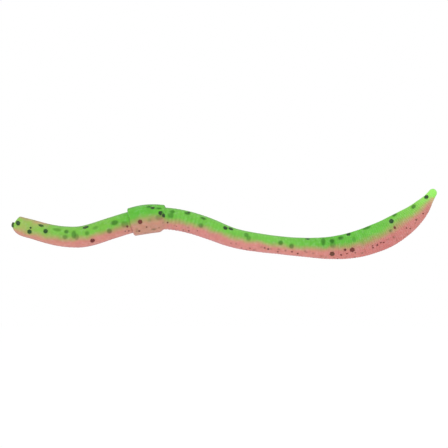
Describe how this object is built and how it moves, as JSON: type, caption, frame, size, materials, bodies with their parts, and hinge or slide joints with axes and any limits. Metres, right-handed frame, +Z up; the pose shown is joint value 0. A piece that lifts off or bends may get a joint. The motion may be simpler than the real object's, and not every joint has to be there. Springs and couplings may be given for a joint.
{
  "type": "soft plastic worm",
  "caption": "Ribbed soft plastic fishing worm with a green back, pink belly, raised collar, glitter flakes and a flattened tail that ends in a small bulb.",
  "frame": {"origin": "centre of the trimmed face on the nose", "axes": "+X from the nose towards the tail, +Z up through the green back, +Y across the worm; the moulded S-curve lies in the XZ plane"},
  "size_m": [0.1449, 0.0102, 0.0242],
  "materials": {
    "back_green": "satin translucent soft plastic",
    "belly_pink": "satin translucent soft plastic",
    "tip_green": "satin translucent soft plastic",
    "flake_green": "dark metallised film seen through green",
    "flake_red": "dark metallised film seen through pink"
  },
  "bodies": {
    "head": {"head_back": "back_green", "head_belly": "belly_pink", "head_flake_1": "flake_green", "head_flake_2": "flake_green", "head_flake_3": "flake_green", "head_flake_4": "flake_green"},
    "nape": {"nape_back": "back_green", "nape_belly": "belly_pink", "nape_flake_1": "flake_green", "nape_flake_2": "flake_green", "nape_flake_3": "flake_green", "nape_flake_4": "flake_green"},
    "neck": {"neck_back": "back_green", "neck_belly": "belly_pink", "neck_flake_1": "flake_green", "neck_flake_2": "flake_red", "neck_flake_3": "flake_green", "neck_flake_4": "flake_red", "neck_flake_5": "flake_green"},
    "collar": {"collar_back": "back_green", "collar_belly": "belly_pink", "collar_flake_1": "flake_red", "collar_flake_2": "flake_green", "collar_flake_3": "flake_green", "collar_flake_4": "flake_green", "collar_flake_5": "flake_green", "collar_flake_6": "flake_green"},
    "chest": {"chest_back": "back_green", "chest_belly": "belly_pink", "chest_flake_1": "flake_green", "chest_flake_2": "flake_green", "chest_flake_3": "flake_green"},
    "trunk": {"trunk_back": "back_green", "trunk_belly": "belly_pink", "trunk_flake_1": "flake_green", "trunk_flake_2": "flake_green", "trunk_flake_3": "flake_green"},
    "waist": {"waist_back": "back_green", "waist_belly": "belly_pink", "waist_flake_1": "flake_green"},
    "hip": {"hip_back": "back_green", "hip_belly": "belly_pink", "hip_flake_1": "flake_green", "hip_flake_2": "flake_green"},
    "tail_root": {"tail_root_back": "back_green", "tail_root_belly": "belly_pink", "tail_root_flake_1": "flake_green", "tail_root_flake_2": "flake_red", "tail_root_flake_3": "flake_green", "tail_root_flake_4": "flake_red"},
    "tail": {"tail_back": "back_green", "tail_belly": "belly_pink"},
    "fin": {"fin_back": "back_green", "fin_belly": "belly_pink", "fin_flake_1": "flake_green"},
    "fin_end": {"fin_end_back": "back_green", "fin_end_belly": "belly_pink", "fin_end_flake_1": "flake_green", "tail_tip": "tip_green"}
  },
  "joints": [
    {"name": "head_sway", "type": "hinge", "parent": "head", "child": "nape", "pos_m": [0.0125, 0, -0.0046], "axis": [0.1974, 0, 0.9803], "range_deg": [-35, 35], "stiffness_Nm_per_rad": 0.0009},
    {"name": "nape_arch", "type": "hinge", "parent": "nape", "child": "neck", "pos_m": [0.0221, 0, -0.0053], "axis": [0, -1, 0], "range_deg": [-35, 35], "stiffness_Nm_per_rad": 0.0009},
    {"name": "neck_sway", "type": "hinge", "parent": "neck", "child": "collar", "pos_m": [0.0349, 0, -0.0016], "axis": [-0.2697, 0, 0.9629], "range_deg": [-35, 35], "stiffness_Nm_per_rad": 0.0009},
    {"name": "collar_arch", "type": "hinge", "parent": "collar", "child": "chest", "pos_m": [0.0557, 0, 0.0004], "axis": [0, -1, 0], "range_deg": [-35, 35], "stiffness_Nm_per_rad": 0.0009},
    {"name": "chest_sway", "type": "hinge", "parent": "chest", "child": "trunk", "pos_m": [0.0679, 0, -0.0033], "axis": [0.3521, 0, 0.936], "range_deg": [-35, 35], "stiffness_Nm_per_rad": 0.0008},
    {"name": "trunk_arch", "type": "hinge", "parent": "trunk", "child": "waist", "pos_m": [0.0809, 0, -0.007], "axis": [0, -1, 0], "range_deg": [-35, 35], "stiffness_Nm_per_rad": 0.0006},
    {"name": "waist_twist", "type": "hinge", "parent": "waist", "child": "hip", "pos_m": [0.0923, 0, -0.0084], "axis": [0.9956, 0, -0.0942], "range_deg": [-90, 90], "stiffness_Nm_per_rad": 0.0003},
    {"name": "hip_sway", "type": "hinge", "parent": "hip", "child": "tail_root", "pos_m": [0.1028, 0, -0.0091], "axis": [0.02, 0, 0.9998], "range_deg": [-35, 35], "stiffness_Nm_per_rad": 0.0004},
    {"name": "tail_arch", "type": "hinge", "parent": "tail_root", "child": "tail", "pos_m": [0.1177, 0, -0.0075], "axis": [0, -1, 0], "range_deg": [-35, 35], "stiffness_Nm_per_rad": 0.001},
    {"name": "fin_sway", "type": "hinge", "parent": "tail", "child": "fin", "pos_m": [0.1267, 0, -0.0041], "axis": [-0.4535, 0, 0.8912], "range_deg": [-35, 35], "stiffness_Nm_per_rad": 0.00012},
    {"name": "fin_end_sway", "type": "hinge", "parent": "fin", "child": "fin_end", "pos_m": [0.1357, 0, 0.0018], "axis": [-0.6402, 0, 0.7682], "range_deg": [-35, 35], "stiffness_Nm_per_rad": 0.00006}
  ]
}
